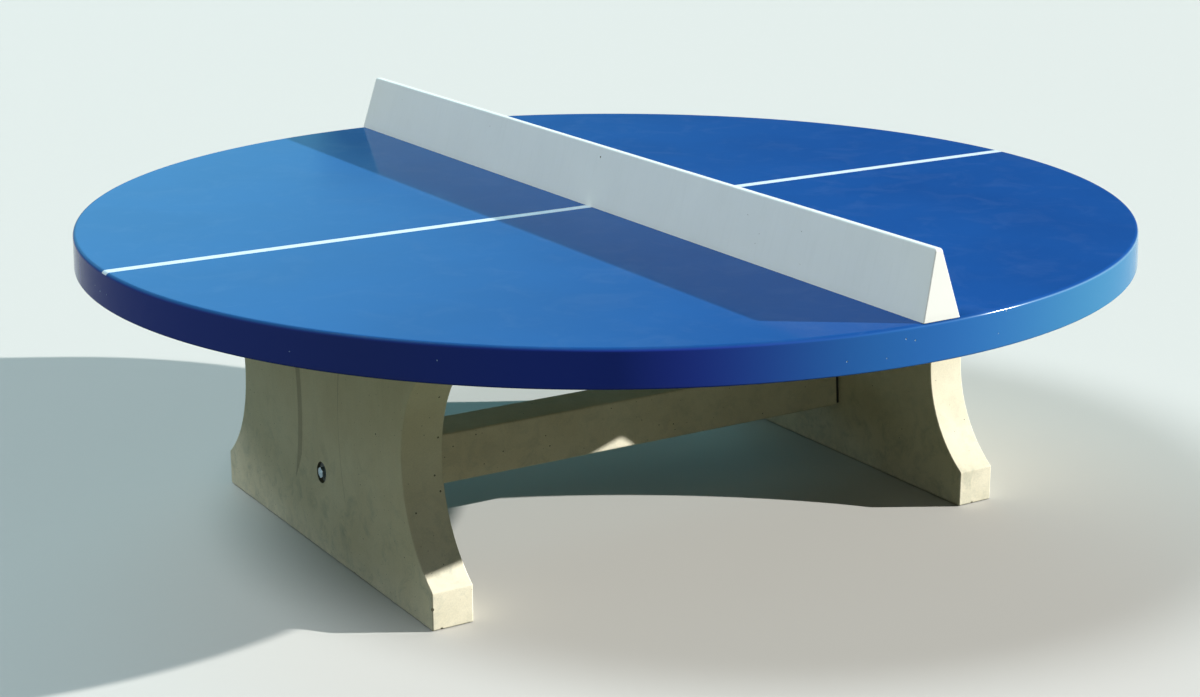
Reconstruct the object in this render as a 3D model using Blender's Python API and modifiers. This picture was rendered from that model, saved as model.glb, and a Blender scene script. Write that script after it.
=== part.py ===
"""Round outdoor table tennis table: a cast concrete slab with a concrete net bar across it,
carried by two waisted concrete legs that a concrete beam and two bolts tie together."""

import math

import bmesh
import bpy
from mathutils import Matrix, Vector

# Metres. The origin is on the ground under the middle of the table and +Z is up.
# The centre line and the beam run along X, and the net bar runs along Y.

# Space left between two pieces that touch
SEAT_GAP = 0.0003

# Tabletop: cast face down in a ring mould, so its side widens a little towards the underside
TABLE_HEIGHT = 0.760
SLAB_RADIUS = 1.300
SLAB_THICKNESS = 0.085
SLAB_DRAFT = 0.002
SLAB_TOP_ARRIS = 0.009
SLAB_UNDER_ARRIS = 0.004
SLAB_STEPS = 160

# Centre line: one strip let into the slab on each side of the net bar
LINE_WIDTH = 0.028
LINE_THICKNESS = 0.006
LINE_UNDER_NET = 0.012

# Net bar: a tapered bar as long as the slab is wide, with ends that lean inwards
NET_HEIGHT = 0.145
NET_BASE_WIDTH = 0.095
NET_TOP_WIDTH = 0.016
NET_RIM_SETBACK = 0.004
NET_END_LEAN = 0.017
NET_END_ROUND = 0.006
NET_ARRIS = 0.0025

# Legs: plates that stand across the centre line, with hollow curved sides
LEG_CENTRES = 1.500
LEG_THICKNESS = 0.103
LEG_WIDTH = 1.150
LEG_WAIST = 0.884
FOOT_HEIGHT = 0.090
HEAD_HEIGHT = 0.065
LEG_ARRIS = 0.004
LEG_ARC_STEPS = 20

# Shallow plain panel in each leg's outer face: its sides bow like the leg's own, and at each
# end its floor runs out to the face
PANEL_WAIST = 0.206
PANEL_FLARE = 0.056
PANEL_HEIGHT = 0.410
PANEL_DEPTH = 0.005
PANEL_DRAFT = 0.005
PANEL_RUN_OUT = 0.070
PANEL_ARC_STEPS = 10

# Beam between the legs: cast upside down, so it widens a little towards its underside
BEAM_AXIS_HEIGHT = 0.199
BEAM_WIDTH = 0.150
BEAM_TOP_WIDTH = 0.130
BEAM_HEIGHT = 0.123
BEAM_ARRIS = 0.005

# Rubber pad between each end of the beam and the leg, set back from the beam's faces
JOINT_PAD_THICKNESS = 0.008
JOINT_PAD_INSET = 0.004

# Bolt through each leg into a threaded socket cast in the beam's end
BEAM_BOLT_DIAMETER = 0.016
BEAM_BOLT_HEAD = 0.024
BEAM_BOLT_HEAD_HEIGHT = 0.010
BEAM_BOLT_IN_SOCKET = 0.059
BEAM_WASHER_DIAMETER = 0.050
BEAM_WASHER_THICKNESS = 0.004
BEAM_RECESS_DEPTH = 0.015
BEAM_SOCKET_WALL = 0.006

# Bolts up through the slab into threaded sockets cast in the net bar
NET_BOLT_SPACING = 1.700
NET_BOLT_DIAMETER = 0.012
NET_BOLT_HEAD = 0.019
NET_BOLT_HEAD_HEIGHT = 0.0075
NET_BOLT_IN_SOCKET = 0.040
NET_WASHER_DIAMETER = 0.037
NET_WASHER_THICKNESS = 0.003
NET_RECESS_DEPTH = 0.016
NET_SOCKET_WALL = 0.004

# What every bolt, washer and socket shares
BOLT_HOLE_CLEARANCE = 0.001
THREAD_CLEARANCE = 0.0004
WASHER_CLEARANCE = 0.001
SOCKET_END_ROOM = 0.012
SOCKET_END_WALL = 0.008

# Bearing pads on top of the legs, and the dowels that hold the slab in place on them
PAD_THICKNESS = 0.005
PAD_LENGTH = 0.160
PAD_WIDTH = 0.070
DOWEL_FROM_LEG_END = 0.125
DOWEL_DIAMETER = 0.020
DOWEL_IN_LEG = 0.060
DOWEL_IN_SLAB = 0.045
DOWEL_CLEARANCE = 0.001

# Sizes that follow from the ones above
SLAB_UNDERSIDE = TABLE_HEIGHT - SLAB_THICKNESS
PAD_BOTTOM = SLAB_UNDERSIDE - SEAT_GAP - PAD_THICKNESS
LEG_HEIGHT = PAD_BOTTOM - SEAT_GAP
WAIST_HEIGHT = (FOOT_HEIGHT + LEG_HEIGHT - HEAD_HEIGHT) / 2
LEG_INNER_FACE = (LEG_CENTRES - LEG_THICKNESS) / 2
BEAM_END = LEG_INNER_FACE - JOINT_PAD_THICKNESS - 2 * SEAT_GAP
NET_BOTTOM = TABLE_HEIGHT + SEAT_GAP
NET_HALF_LENGTH = SLAB_RADIUS - NET_RIM_SETBACK
LINE_INNER_END = NET_BASE_WIDTH / 2 - LINE_UNDER_NET
DOWEL_FROM_MIDDLE = LEG_WIDTH / 2 - DOWEL_FROM_LEG_END

# Where the bolts' heads seat: out from the table's middle at the legs, and up under the slab
BEAM_WASHER_PLACE = LEG_INNER_FACE + LEG_THICKNESS - BEAM_RECESS_DEPTH + SEAT_GAP
BEAM_HEAD_PLACE = BEAM_WASHER_PLACE + BEAM_WASHER_THICKNESS + SEAT_GAP
BEAM_BOLT_LENGTH = BEAM_HEAD_PLACE - BEAM_END + BEAM_BOLT_IN_SOCKET
NET_WASHER_PLACE = SLAB_UNDERSIDE + NET_RECESS_DEPTH - SEAT_GAP
NET_HEAD_PLACE = NET_WASHER_PLACE - NET_WASHER_THICKNESS - SEAT_GAP
NET_BOLT_LENGTH = NET_BOTTOM - NET_HEAD_PLACE + NET_BOLT_IN_SOCKET

ROUND_STEPS = 32
CUT_MARGIN = 0.010


def clear_scene():
    for old in list(bpy.data.objects):
        bpy.data.objects.remove(old)


def linear_from_srgb(code):
    channels = [int(code[i : i + 2], 16) / 255 for i in (0, 2, 4)]
    return [c / 12.92 if c <= 0.04045 else ((c + 0.055) / 1.055) ** 2.4 for c in channels]


def make_material(name, code, roughness, metallic=0.0):
    material = bpy.data.materials.new(name)
    material.use_nodes = True
    shader = material.node_tree.nodes["Principled BSDF"]
    shader.inputs["Base Color"].default_value = (*linear_from_srgb(code), 1.0)
    shader.inputs["Roughness"].default_value = roughness
    shader.inputs["Metallic"].default_value = metallic
    return material


def add_collection(name):
    collection = bpy.data.collections.new(name)
    bpy.context.scene.collection.children.link(collection)
    return collection


def add_object(name, mesh, collection, location=(0, 0, 0), turn=None):
    """Links a mesh as an object. turn is a rotation matrix, or None."""
    piece = bpy.data.objects.new(name, mesh)
    collection.objects.link(piece)
    piece.location = location
    if turn is not None:
        piece.rotation_euler = turn.to_euler()
    return piece


def finish_piece(piece, material):
    """Gives a piece its material and shades its round faces smooth."""
    piece.data.materials.clear()
    piece.data.materials.append(material)
    piece.data.shade_smooth()
    piece.data.set_sharp_from_angle(angle=math.radians(30))
    return piece


def mesh_from(work, name):
    bmesh.ops.recalc_face_normals(work, faces=work.faces)
    mesh = bpy.data.meshes.new(name)
    work.to_mesh(mesh)
    work.free()
    return mesh


def box_mesh(name, low, high):
    """A box between two corners."""
    low, high = Vector(low), Vector(high)
    work = bmesh.new()
    bmesh.ops.create_cube(work, size=1)
    bmesh.ops.scale(work, vec=high - low, verts=work.verts)
    bmesh.ops.translate(work, vec=(low + high) / 2, verts=work.verts)
    return mesh_from(work, name)


def prism_mesh(name, sides, radius, bottom, top):
    """An upright prism on the Z axis, or a cylinder when it has many sides."""
    work = bmesh.new()
    bmesh.ops.create_cone(
        work, cap_ends=True, segments=sides, radius1=radius, radius2=radius, depth=top - bottom
    )
    bmesh.ops.translate(work, vec=(0, 0, (bottom + top) / 2), verts=work.verts)
    return mesh_from(work, name)


def arc(centre, radius, start, end, steps):
    """Points on an arc from one angle in degrees to another, both ends included."""
    angles = [math.radians(start + (end - start) * i / steps) for i in range(steps + 1)]
    return [(centre[0] + radius * math.cos(a), centre[1] + radius * math.sin(a)) for a in angles]


def turned_mesh(name, profile):
    """The open or closed profile, a list of (radius, height), that a Screw modifier will turn."""
    mesh = bpy.data.meshes.new(name)
    closed = profile[0] == profile[-1]
    points = profile[:-1] if closed else profile
    edges = [(i, i + 1) for i in range(len(points) - 1)]
    if closed:
        edges.append((len(points) - 1, 0))
    mesh.from_pydata([(radius, 0, height) for radius, height in points], edges, [])
    return mesh


def turn_about_z(piece, steps):
    screw = piece.modifiers.new("Turn", "SCREW")
    screw.axis = "Z"
    screw.angle = math.tau
    screw.steps = steps
    screw.render_steps = steps
    screw.use_merge_vertices = True
    screw.merge_threshold = 0.0001
    screw.use_smooth_shade = True
    return screw


def round_edges(piece, width, segments=2):
    bevel = piece.modifiers.new("Arris", "BEVEL")
    bevel.width = width
    bevel.segments = segments
    bevel.limit_method = "ANGLE"
    bevel.angle_limit = math.radians(30)
    return bevel


def combine(piece, other, operation):
    """A Boolean between a piece and a helper that is left out of the table itself."""
    other.hide_render = True
    other.display_type = "WIRE"
    modifier = piece.modifiers.new(other.name, "BOOLEAN")
    modifier.operation = operation
    modifier.solver = "EXACT"
    modifier.object = other
    return modifier


def sagitta_radius(half_chord, rise):
    return (half_chord**2 + rise**2) / (2 * rise)


def waisted_side(waist, rise, half_chord, middle, steps):
    """A side that is nearest the axis at the middle height and curves outwards above and below,
    as (distance from the axis, height) from the bottom to the top."""
    radius = sagitta_radius(half_chord, rise)
    sweep = math.degrees(2 * math.atan2(rise, half_chord))
    return arc((waist + radius, middle), radius, 180 + sweep, 180 - sweep, steps)


def plate_mesh(name, outline, back, front):
    """A flat plate across X from an outline in (Y, Z) that goes round once."""
    work = bmesh.new()
    face = work.faces.new([work.verts.new((back, y, z)) for y, z in outline])
    grown = bmesh.ops.extrude_face_region(work, geom=[face])
    moved = [item for item in grown["geom"] if isinstance(item, bmesh.types.BMVert)]
    bmesh.ops.translate(work, vec=(front - back, 0, 0), verts=moved)
    return mesh_from(work, name)


def bolt_hole_profile(bolt_diameter, washer_diameter, recess_depth, pierced):
    """A recess for washer and head in the face at height 0, and a hole for the shank that
    goes on down through a piece of the pierced thickness."""
    hole_radius = bolt_diameter / 2 + BOLT_HOLE_CLEARANCE
    recess_radius = washer_diameter / 2 + WASHER_CLEARANCE
    through = -pierced - CUT_MARGIN
    return [
        (0, CUT_MARGIN),
        (recess_radius, CUT_MARGIN),
        (recess_radius, -recess_depth),
        (hole_radius, -recess_depth),
        (hole_radius, through),
        (0, through),
    ]


def slab_profile():
    """The slab's half section from the middle of its top, round the rim, to the middle below."""
    top_radius = SLAB_RADIUS - SLAB_DRAFT
    top_arris = arc(
        (top_radius - SLAB_TOP_ARRIS, TABLE_HEIGHT - SLAB_TOP_ARRIS), SLAB_TOP_ARRIS, 90, 0, 4
    )
    under_arris = arc(
        (SLAB_RADIUS - SLAB_UNDER_ARRIS, SLAB_UNDERSIDE + SLAB_UNDER_ARRIS),
        SLAB_UNDER_ARRIS,
        0,
        -90,
        2,
    )
    return [(0, TABLE_HEIGHT), *top_arris, *under_arris, (0, SLAB_UNDERSIDE)]


def add_slab_body(name, collection):
    body = add_object(name, turned_mesh(name, slab_profile()), collection)
    turn_about_z(body, SLAB_STEPS)
    return body


def make_tabletop(parts, cutters, coating):
    slab = add_slab_body("tabletop", parts)
    for side, sign in SIDES:
        half_width = LINE_WIDTH / 2 + SEAT_GAP
        floor = TABLE_HEIGHT - LINE_THICKNESS - SEAT_GAP
        ends = sorted((sign * (LINE_INNER_END - SEAT_GAP), sign * (SLAB_RADIUS + CUT_MARGIN)))
        groove = box_mesh(
            f"line_groove_{side}",
            (ends[0], -half_width, floor),
            (ends[1], half_width, TABLE_HEIGHT + CUT_MARGIN),
        )
        combine(slab, add_object(f"line_groove_{side}", groove, cutters), "DIFFERENCE")
    for name, y in NET_BOLT_PLACES:
        hole = bolt_hole_profile(
            NET_BOLT_DIAMETER, NET_WASHER_DIAMETER, NET_RECESS_DEPTH, SLAB_THICKNESS
        )
        cutter = add_object(
            f"net_bolt_hole_{name}",
            turned_mesh(f"net_bolt_hole_{name}", hole),
            cutters,
            (0, y, SLAB_UNDERSIDE),
            Matrix.Rotation(math.pi, 3, "X"),
        )
        turn_about_z(cutter, ROUND_STEPS)
        combine(slab, cutter, "DIFFERENCE")
    for name, x, y in DOWEL_PLACES:
        mesh = prism_mesh(
            f"slab_dowel_hole_{name}",
            ROUND_STEPS,
            DOWEL_DIAMETER / 2 + DOWEL_CLEARANCE,
            -CUT_MARGIN,
            DOWEL_IN_SLAB + SEAT_GAP,
        )
        cutter = add_object(f"slab_dowel_hole_{name}", mesh, cutters, (x, y, SLAB_UNDERSIDE))
        combine(slab, cutter, "DIFFERENCE")
    return finish_piece(slab, coating)


def make_centre_line(parts, cutters, paint):
    """Each strip is the part of a second slab that lies in its groove, so its end takes the
    rounded rim of the slab and its face lies flush with the playing surface."""
    outer_shape = add_slab_body("line_rim_shape", cutters)
    for side, sign in SIDES:
        ends = sorted((sign * LINE_INNER_END, sign * (SLAB_RADIUS + CUT_MARGIN)))
        name = f"centre_line_{side}"
        mesh = box_mesh(
            name,
            (ends[0], -LINE_WIDTH / 2, TABLE_HEIGHT - LINE_THICKNESS),
            (ends[1], LINE_WIDTH / 2, TABLE_HEIGHT + CUT_MARGIN),
        )
        strip = add_object(name, mesh, parts)
        combine(strip, outer_shape, "INTERSECT")
        finish_piece(strip, paint)


def net_bar_mesh():
    """A box drawn in towards its top, first rounded at its two upper end corners and then
    given a small round along every other edge."""
    work = bmesh.new()
    bmesh.ops.create_cube(work, size=1)
    for corner in work.verts:
        upper = corner.co.z > 0
        half_width = (NET_TOP_WIDTH if upper else NET_BASE_WIDTH) / 2
        half_length = NET_HALF_LENGTH - (NET_END_LEAN if upper else 0)
        corner.co.x = math.copysign(half_width, corner.co.x)
        corner.co.y = math.copysign(half_length, corner.co.y)
        corner.co.z = NET_HEIGHT if upper else 0
    end_edges = [
        edge
        for edge in work.edges
        if all(v.co.z > 0 for v in edge.verts) and edge.verts[0].co.y == edge.verts[1].co.y
    ]
    bmesh.ops.bevel(
        work, geom=end_edges, offset=NET_END_ROUND, segments=5, profile=0.5, affect="EDGES"
    )
    sharp = [edge for edge in work.edges if edge.calc_face_angle() > math.radians(40)]
    bmesh.ops.bevel(work, geom=sharp, offset=NET_ARRIS, segments=3, profile=0.5, affect="EDGES")
    return mesh_from(work, "net_bar")


def socket_size(bolt_diameter, bolt_in_socket, wall):
    """Outer radius and length of the sleeve that takes this much of the bolt."""
    radius = bolt_diameter / 2 + THREAD_CLEARANCE + wall
    return radius, bolt_in_socket + SOCKET_END_ROOM + SOCKET_END_WALL


def make_net_bar(parts, cutters, coating):
    bar = add_object("net_bar", net_bar_mesh(), parts, (0, 0, NET_BOTTOM))
    for name, y in NET_BOLT_PLACES:
        radius, length = socket_size(NET_BOLT_DIAMETER, NET_BOLT_IN_SOCKET, NET_SOCKET_WALL)
        mesh = prism_mesh(
            f"net_socket_hole_{name}",
            ROUND_STEPS,
            radius + SEAT_GAP,
            -CUT_MARGIN,
            length + SEAT_GAP,
        )
        cutter = add_object(f"net_socket_hole_{name}", mesh, cutters, (0, y, NET_BOTTOM))
        combine(bar, cutter, "DIFFERENCE")
    return finish_piece(bar, coating)


def leg_outline():
    """The leg's outline in (Y, Z): upright at the foot and the head, hollow between them."""
    half_chord = (LEG_HEIGHT - HEAD_HEIGHT - FOOT_HEIGHT) / 2
    rise = (LEG_WIDTH - LEG_WAIST) / 2
    side = waisted_side(LEG_WAIST / 2, rise, half_chord, WAIST_HEIGHT, LEG_ARC_STEPS)
    right = [(LEG_WIDTH / 2, 0), *side, (LEG_WIDTH / 2, LEG_HEIGHT)]
    return right + [(-y, z) for y, z in reversed(right)]


def panel_mesh():
    """The cutter for the panel: it widens towards the leg's face, and a slope at each end lets
    the panel's floor run out there."""
    side = waisted_side(
        PANEL_WAIST / 2, PANEL_FLARE / 2, PANEL_HEIGHT / 2, WAIST_HEIGHT, PANEL_ARC_STEPS
    )
    widest, foot = side[0]
    side = [(widest, foot - CUT_MARGIN), *side, (widest, foot + PANEL_HEIGHT + CUT_MARGIN)]
    outline = side + [(-y, z) for y, z in reversed(side)]
    face_x = -LEG_THICKNESS / 2
    work = bmesh.new()
    work.from_mesh(plate_mesh("panel_plate", outline, face_x + PANEL_DEPTH, face_x - PANEL_DEPTH))
    for point in work.verts:
        if point.co.x < face_x:
            point.co.y *= 1 + 2 * PANEL_DRAFT / widest
    for end in (-1, 1):
        bmesh.ops.bisect_plane(
            work,
            geom=[*work.verts, *work.edges, *work.faces],
            plane_co=(face_x, 0, WAIST_HEIGHT + end * PANEL_HEIGHT / 2),
            plane_no=(PANEL_RUN_OUT, 0, end * PANEL_DEPTH),
            clear_outer=True,
        )
        bmesh.ops.holes_fill(work, edges=work.edges)
    return mesh_from(work, "panel")


def make_leg(side, sign, parts, cutters, concrete):
    """One leg in its own frame, with its outer face towards -X. The right leg is turned half
    round, so its outer face looks the other way."""
    turn = Matrix.Rotation(0 if sign < 0 else math.pi, 3, "Z")
    mesh = plate_mesh(f"leg_{side}", leg_outline(), -LEG_THICKNESS / 2, LEG_THICKNESS / 2)
    leg = add_object(f"leg_{side}", mesh, parts, (sign * LEG_CENTRES / 2, 0, 0), turn)
    round_edges(leg, LEG_ARRIS)

    panel = add_object(f"panel_{side}", panel_mesh(), cutters)
    hole = bolt_hole_profile(
        BEAM_BOLT_DIAMETER, BEAM_WASHER_DIAMETER, BEAM_RECESS_DEPTH, LEG_THICKNESS
    )
    bolt_hole = add_object(
        f"beam_bolt_hole_{side}",
        turned_mesh(f"beam_bolt_hole_{side}", hole),
        cutters,
        (-LEG_THICKNESS / 2, 0, BEAM_AXIS_HEIGHT),
        Matrix.Rotation(-math.pi / 2, 3, "Y"),
    )
    turn_about_z(bolt_hole, ROUND_STEPS)
    carved = [panel, bolt_hole]
    for end_name, end in ENDS:
        name = f"leg_dowel_hole_{side}_{end_name}"
        mesh = prism_mesh(
            name,
            ROUND_STEPS,
            DOWEL_DIAMETER / 2 + DOWEL_CLEARANCE,
            -DOWEL_IN_LEG - SEAT_GAP,
            CUT_MARGIN,
        )
        carved.append(add_object(name, mesh, cutters, (0, end * DOWEL_FROM_MIDDLE, LEG_HEIGHT)))
    for cutter in carved:
        cutter.parent = leg
        combine(leg, cutter, "DIFFERENCE")
    return finish_piece(leg, concrete)


def beam_section(inset):
    """The beam's outline in (Y, Z) about its axis, drawn in by the inset all round."""
    half_height = BEAM_HEIGHT / 2 - inset
    lower = BEAM_WIDTH / 2 - inset
    upper = BEAM_TOP_WIDTH / 2 - inset
    return [
        (lower, -half_height),
        (upper, half_height),
        (-upper, half_height),
        (-lower, -half_height),
    ]


def make_beam(parts, cutters, concrete):
    mesh = plate_mesh("stretcher_beam", beam_section(0), -BEAM_END, BEAM_END)
    beam = add_object("stretcher_beam", mesh, parts, (0, 0, BEAM_AXIS_HEIGHT))
    round_edges(beam, BEAM_ARRIS)
    for side, sign in SIDES:
        radius, length = socket_size(BEAM_BOLT_DIAMETER, BEAM_BOLT_IN_SOCKET, BEAM_SOCKET_WALL)
        mesh = prism_mesh(
            f"beam_socket_hole_{side}",
            ROUND_STEPS,
            radius + SEAT_GAP,
            -length - SEAT_GAP,
            CUT_MARGIN,
        )
        cutter = add_object(
            f"beam_socket_hole_{side}",
            mesh,
            cutters,
            (sign * BEAM_END, 0, BEAM_AXIS_HEIGHT),
            outward_turn(sign),
        )
        combine(beam, cutter, "DIFFERENCE")
    return finish_piece(beam, concrete)


def outward_turn(sign):
    """The rotation that points a piece's own +Z along -X or +X."""
    return Matrix.Rotation(sign * math.pi / 2, 3, "Y")


def make_joint_pads(parts, cutters, rubber):
    """The pad between each end of the beam and the leg, with a hole for the bolt."""
    half = JOINT_PAD_THICKNESS / 2
    for side, sign in SIDES:
        name = f"joint_pad_{side}"
        mesh = plate_mesh(name, beam_section(JOINT_PAD_INSET), -half, half)
        place = (sign * (BEAM_END + SEAT_GAP + half), 0, BEAM_AXIS_HEIGHT)
        pad = add_object(name, mesh, parts, place)
        hole_mesh = prism_mesh(
            f"joint_pad_hole_{side}",
            ROUND_STEPS,
            BEAM_BOLT_DIAMETER / 2 + BOLT_HOLE_CLEARANCE,
            -half - CUT_MARGIN,
            half + CUT_MARGIN,
        )
        hole = add_object(f"joint_pad_hole_{side}", hole_mesh, cutters, turn=outward_turn(sign))
        hole.parent = pad
        combine(pad, hole, "DIFFERENCE")
        finish_piece(pad, rubber)


def make_bolt(name, sizes, place, turn, parts, cutters, steel):
    """A hexagon bolt in its own frame: the underside of its head at 0, its shank below."""
    head_width, head_height, diameter, length = sizes
    across_corners = head_width / math.cos(math.radians(30))
    head = prism_mesh(name, 6, across_corners / 2, 0, head_height)
    bolt = add_object(name, head, parts, place, turn)
    shank_mesh = prism_mesh(f"{name}_shank", ROUND_STEPS, diameter / 2, -length, head_height / 2)
    shank = add_object(f"{name}_shank", shank_mesh, cutters)
    shank.parent = bolt
    combine(bolt, shank, "UNION")
    return finish_piece(bolt, steel)


def make_washer(name, sizes, place, turn, parts, steel):
    """A flat washer in its own frame, its underside at 0."""
    diameter, thickness, bolt_diameter = sizes
    inner = bolt_diameter / 2 + THREAD_CLEARANCE
    outer = diameter / 2
    profile = [(inner, thickness), (outer, thickness), (outer, 0), (inner, 0), (inner, thickness)]
    washer = add_object(name, turned_mesh(name, profile), parts, place, turn)
    turn_about_z(washer, ROUND_STEPS)
    return finish_piece(washer, steel)


def make_socket(name, sizes, place, turn, parts, steel):
    """A threaded socket in its own frame: a closed sleeve that opens at height 0."""
    bolt_diameter, bolt_in_socket, wall = sizes
    radius, length = socket_size(bolt_diameter, bolt_in_socket, wall)
    bore = radius - wall
    bore_end = SOCKET_END_WALL - length
    profile = [(0, bore_end), (bore, bore_end), (bore, 0), (radius, 0), (radius, -length)]
    profile.append((0, -length))
    socket = add_object(name, turned_mesh(name, profile), parts, place, turn)
    turn_about_z(socket, ROUND_STEPS)
    return finish_piece(socket, steel)


def make_beam_fixings(parts, cutters, steel):
    """At each leg, from outside: the bolt's head on its washer in the recess, and the socket
    in the beam's end that the shank screws into."""
    for side, sign in SIDES:
        turn = outward_turn(sign)
        make_bolt(
            f"beam_bolt_{side}",
            (BEAM_BOLT_HEAD, BEAM_BOLT_HEAD_HEIGHT, BEAM_BOLT_DIAMETER, BEAM_BOLT_LENGTH),
            (sign * BEAM_HEAD_PLACE, 0, BEAM_AXIS_HEIGHT),
            turn,
            parts,
            cutters,
            steel,
        )
        make_washer(
            f"beam_washer_{side}",
            (BEAM_WASHER_DIAMETER, BEAM_WASHER_THICKNESS, BEAM_BOLT_DIAMETER),
            (sign * BEAM_WASHER_PLACE, 0, BEAM_AXIS_HEIGHT),
            turn,
            parts,
            steel,
        )
        make_socket(
            f"beam_socket_{side}",
            (BEAM_BOLT_DIAMETER, BEAM_BOLT_IN_SOCKET, BEAM_SOCKET_WALL),
            (sign * BEAM_END, 0, BEAM_AXIS_HEIGHT),
            turn,
            parts,
            steel,
        )


def make_net_fixings(parts, cutters, steel):
    """Under the slab: each bolt's head on its washer in the recess, and the socket in the net
    bar's base that the shank screws into."""
    turn = Matrix.Rotation(math.pi, 3, "X")
    for name, y in NET_BOLT_PLACES:
        make_bolt(
            f"net_bolt_{name}",
            (NET_BOLT_HEAD, NET_BOLT_HEAD_HEIGHT, NET_BOLT_DIAMETER, NET_BOLT_LENGTH),
            (0, y, NET_HEAD_PLACE),
            turn,
            parts,
            cutters,
            steel,
        )
        make_washer(
            f"net_washer_{name}",
            (NET_WASHER_DIAMETER, NET_WASHER_THICKNESS, NET_BOLT_DIAMETER),
            (0, y, NET_WASHER_PLACE),
            turn,
            parts,
            steel,
        )
        make_socket(
            f"net_socket_{name}",
            (NET_BOLT_DIAMETER, NET_BOLT_IN_SOCKET, NET_SOCKET_WALL),
            (0, y, NET_BOTTOM),
            turn,
            parts,
            steel,
        )


def make_seats(parts, cutters, steel, rubber):
    """A rubber pad on each end of each leg's head, and a dowel through it into the slab."""
    for name, x, y in DOWEL_PLACES:
        dowel_mesh = prism_mesh(
            f"slab_dowel_{name}",
            ROUND_STEPS,
            DOWEL_DIAMETER / 2,
            LEG_HEIGHT - DOWEL_IN_LEG,
            SLAB_UNDERSIDE + DOWEL_IN_SLAB,
        )
        dowel = add_object(f"slab_dowel_{name}", dowel_mesh, parts, (x, y, 0))
        finish_piece(dowel, steel)
        pad_mesh = box_mesh(
            f"bearing_pad_{name}",
            (-PAD_WIDTH / 2, -PAD_LENGTH / 2, 0),
            (PAD_WIDTH / 2, PAD_LENGTH / 2, PAD_THICKNESS),
        )
        pad = add_object(f"bearing_pad_{name}", pad_mesh, parts, (x, y, PAD_BOTTOM))
        hole_mesh = prism_mesh(
            f"pad_hole_{name}",
            ROUND_STEPS,
            DOWEL_DIAMETER / 2 + DOWEL_CLEARANCE,
            -CUT_MARGIN,
            PAD_THICKNESS + CUT_MARGIN,
        )
        hole = add_object(f"pad_hole_{name}", hole_mesh, cutters)
        hole.parent = pad
        combine(pad, hole, "DIFFERENCE")
        finish_piece(pad, rubber)


SIDES = [("left", -1), ("right", 1)]
ENDS = [("near", -1), ("far", 1)]
NET_BOLT_PLACES = [(end, sign * NET_BOLT_SPACING / 2) for end, sign in ENDS]
DOWEL_PLACES = [
    (f"{side}_{end}", x_sign * LEG_CENTRES / 2, y_sign * DOWEL_FROM_MIDDLE)
    for side, x_sign in SIDES
    for end, y_sign in ENDS
]


def main():
    clear_scene()
    parts = add_collection("round_concrete_table_tennis_table")
    cutters = add_collection("cutters")

    blue_coating = make_material("blue_coating", "3F7FBF", 0.30)
    white_coating = make_material("white_coating", "DCDFDC", 0.55)
    line_paint = make_material("white_line", "F4F6F4", 0.45)
    cream_concrete = make_material("cream_concrete", "E6DFC4", 0.80)
    zinc_steel = make_material("zinc_plated_steel", "B9BDC0", 0.35, metallic=1.0)
    rubber = make_material("black_rubber", "242526", 0.85)

    make_tabletop(parts, cutters, blue_coating)
    make_centre_line(parts, cutters, line_paint)
    make_net_bar(parts, cutters, white_coating)
    for side, sign in SIDES:
        make_leg(side, sign, parts, cutters, cream_concrete)
    make_beam(parts, cutters, cream_concrete)
    make_joint_pads(parts, cutters, rubber)
    make_beam_fixings(parts, cutters, zinc_steel)
    make_net_fixings(parts, cutters, zinc_steel)
    make_seats(parts, cutters, zinc_steel, rubber)


main()
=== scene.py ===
"""Looks of a round concrete table tennis table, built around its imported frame."""

import math
import random
from functools import partial

import bmesh
import bpy
from mathutils import Matrix, Vector


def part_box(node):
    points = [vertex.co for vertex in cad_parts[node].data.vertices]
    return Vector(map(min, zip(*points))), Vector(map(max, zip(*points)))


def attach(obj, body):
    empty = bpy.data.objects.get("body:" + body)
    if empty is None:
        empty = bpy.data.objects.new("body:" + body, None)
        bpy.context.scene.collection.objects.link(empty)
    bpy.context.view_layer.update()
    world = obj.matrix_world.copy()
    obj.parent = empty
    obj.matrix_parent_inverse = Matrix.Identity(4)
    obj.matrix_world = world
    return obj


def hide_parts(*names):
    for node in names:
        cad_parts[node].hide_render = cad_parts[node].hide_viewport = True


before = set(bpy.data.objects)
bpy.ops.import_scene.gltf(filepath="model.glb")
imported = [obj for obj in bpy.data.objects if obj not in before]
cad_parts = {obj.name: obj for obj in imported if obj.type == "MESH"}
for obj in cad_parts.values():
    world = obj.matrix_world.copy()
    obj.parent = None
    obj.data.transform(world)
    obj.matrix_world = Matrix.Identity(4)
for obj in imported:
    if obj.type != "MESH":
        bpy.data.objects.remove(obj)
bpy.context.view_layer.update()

# Legs. Two identical plates of cream concrete, cast lying down in a steel mould that rounds
# their arrises. Each stands loose on its foot, and a recess low on its outer face takes the bolt
# that pulls it against the beam.

LEG_WAIST = 0.884
LEG_FOOT_HEIGHT = 0.090
LEG_HEAD_HEIGHT = 0.065
LEG_ARRIS = 0.004
LEG_ARC_STEPS = 48

PANEL_WAIST = 0.206
PANEL_FLARE = 0.056
PANEL_HEIGHT = 0.410
PANEL_DEPTH = 0.005
PANEL_DRAFT = 0.016
PANEL_RUN_OUT = 0.070

BEAM_BOLT_DIAMETER = 0.016
SEAT_GAP = 0.0003
BOLT_HOLE_CLEARANCE = 0.001
WASHER_CLEARANCE = 0.001
DOWEL_CLEARANCE = 0.001
CUT_MARGIN = 0.010

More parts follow.
